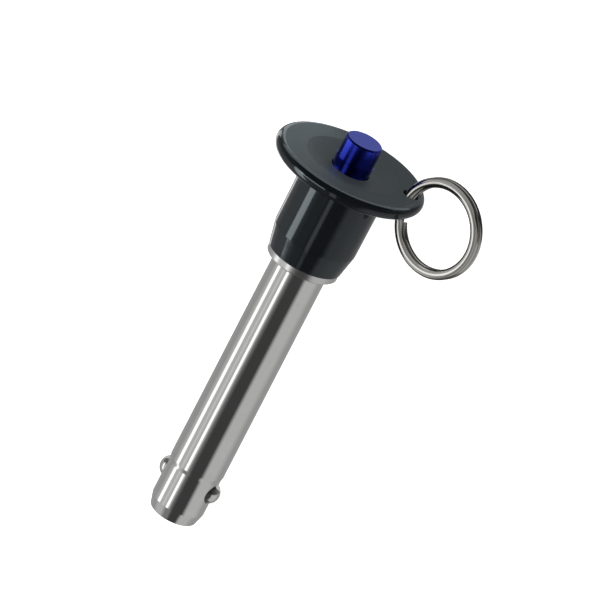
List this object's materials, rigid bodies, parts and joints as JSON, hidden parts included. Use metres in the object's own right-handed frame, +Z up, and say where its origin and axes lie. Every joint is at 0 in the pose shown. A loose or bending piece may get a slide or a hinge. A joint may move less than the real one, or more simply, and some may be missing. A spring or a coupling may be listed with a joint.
{
  "type": "ball lock pin",
  "caption": "Quick-release ball lock pin: steel shank with spring-loaded locking balls, black mushroom handle, blue push button and a split ring for a lanyard.",
  "frame": {"origin": "centre of the bounding box at floor level, the pin lying on the floor as it comes to rest", "axes": "+Z up from the floor; +X along the pin from tip to handle, seen from above (the pin's axis itself rises 7.5 degrees towards the handle); the split ring lies on the -Y side"},
  "size_m": [0.0972, 0.0452, 0.0331],
  "materials": {
    "shank_steel": "ground stainless steel, fine grinding lines round the shank",
    "black_anodised": "turned aluminium, black anodised, satin",
    "blue_anodised": "turned aluminium, deep blue anodised, glossy",
    "spring_steel": "drawn stainless spring wire",
    "ball_steel": "polished stainless steel",
    "ring_steel": "polished nickel-plated steel, oval wire"
  },
  "bodies": {
    "pin": {"shank": "shank_steel", "handle": "black_anodised", "return_spring": "spring_steel"},
    "plunger": {"push_button": "blue_anodised", "spindle": "shank_steel"},
    "ring_ball": {"ring_side_ball": "ball_steel"},
    "far_ball": {"far_side_ball": "ball_steel"},
    "ring": {"split_ring": "ring_steel"}
  },
  "joints": [
    {"name": "button_press", "type": "slide", "parent": "pin", "child": "plunger", "axis": [-0.9915, 0, -0.1301], "range_m": [0, 0.0045], "stiffness_N_per_m": 1500, "springref_m": -0.004, "deforming": ["return_spring"]},
    {"name": "ring_ball_slide", "type": "slide", "parent": "pin", "child": "ring_ball", "axis": [-0.0651, 0.866, 0.4957], "range_m": [0, 0.00148]},
    {"name": "far_ball_slide", "type": "slide", "parent": "pin", "child": "far_ball", "axis": [0.0651, -0.866, -0.4957], "range_m": [0, 0.00148]},
    {"name": "ring_swing", "type": "hinge", "parent": "pin", "child": "ring", "pos_m": [0.03828, -0.00338, 0.00701], "axis": [0.9915, 0, 0.1301], "range_deg": [-80.8, 139.1]}
  ],
  "couplings": [
    {"joint": "ring_ball_slide", "follows": "button_press", "ratio": 0.32888},
    {"joint": "far_ball_slide", "follows": "button_press", "ratio": 0.32888}
  ]
}
